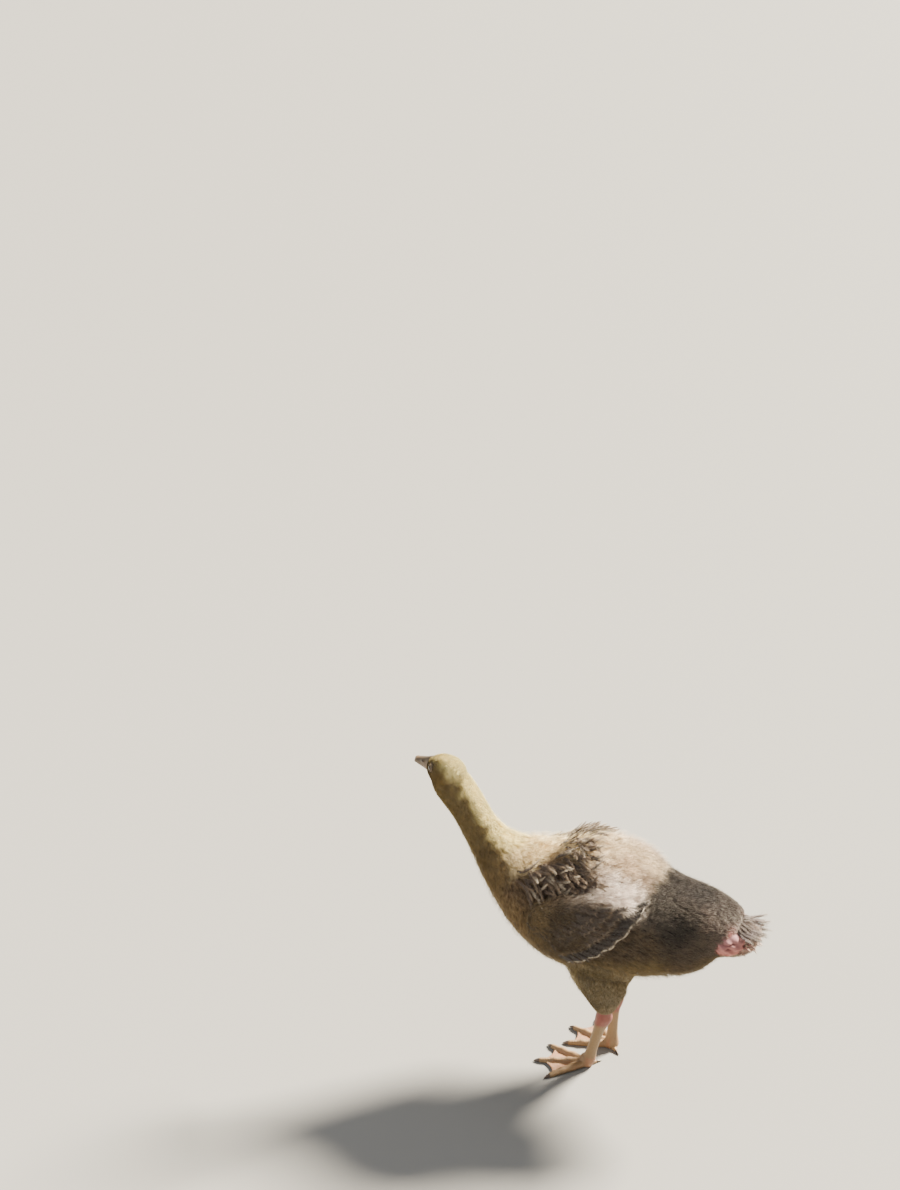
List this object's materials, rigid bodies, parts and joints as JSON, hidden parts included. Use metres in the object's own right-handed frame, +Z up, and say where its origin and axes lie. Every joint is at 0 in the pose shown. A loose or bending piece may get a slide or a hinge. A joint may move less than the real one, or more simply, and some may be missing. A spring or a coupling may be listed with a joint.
{
  "type": "standing sebastopol gosling model",
  "caption": "Life-size still model of a half-feathered sebastopol gosling, standing with its neck stretched up and forward and its head turned aside.",
  "frame": {"origin": "on the floor under the centre of the bounding box, between the feet and a little in front of them", "axes": "+Z up; the bird faces -X; -Y is its left side, the side that the picture shows"},
  "size_m": [0.4484, 0.1864, 0.373],
  "materials": {
    "down_body": "deep soft grey-brown down with pale tips",
    "down_neck": "short dense olive-yellow down",
    "down_vent": "thin pale down over pink skin",
    "feather": "growing grey-brown vanes with pale frayed ends",
    "bill": "smooth brownish pink horn",
    "eye": "wet dark gloss",
    "leg_skin": "scaled skin, tan to pink",
    "claw": "dark horn"
  },
  "bodies": {
    "root": {"torso": "down_body", "neck": "down_neck", "head": "down_neck", "bill_upper": "bill", "bill_lower": "bill", "eye_left": "eye", "eye_right": "eye", "wing_left": "feather", "wing_right": "feather", "tail": "feather", "vent": "down_vent", "drumstick_left": "down_body", "drumstick_right": "down_body", "shank_left": "leg_skin", "shank_right": "leg_skin", "foot_left": "leg_skin", "foot_right": "leg_skin", "claw_left_inner": "claw", "claw_left_middle": "claw", "claw_left_outer": "claw", "claw_left_hind": "claw", "claw_right_inner": "claw", "claw_right_middle": "claw", "claw_right_outer": "claw", "claw_right_hind": "claw"}
  },
  "joints": []
}
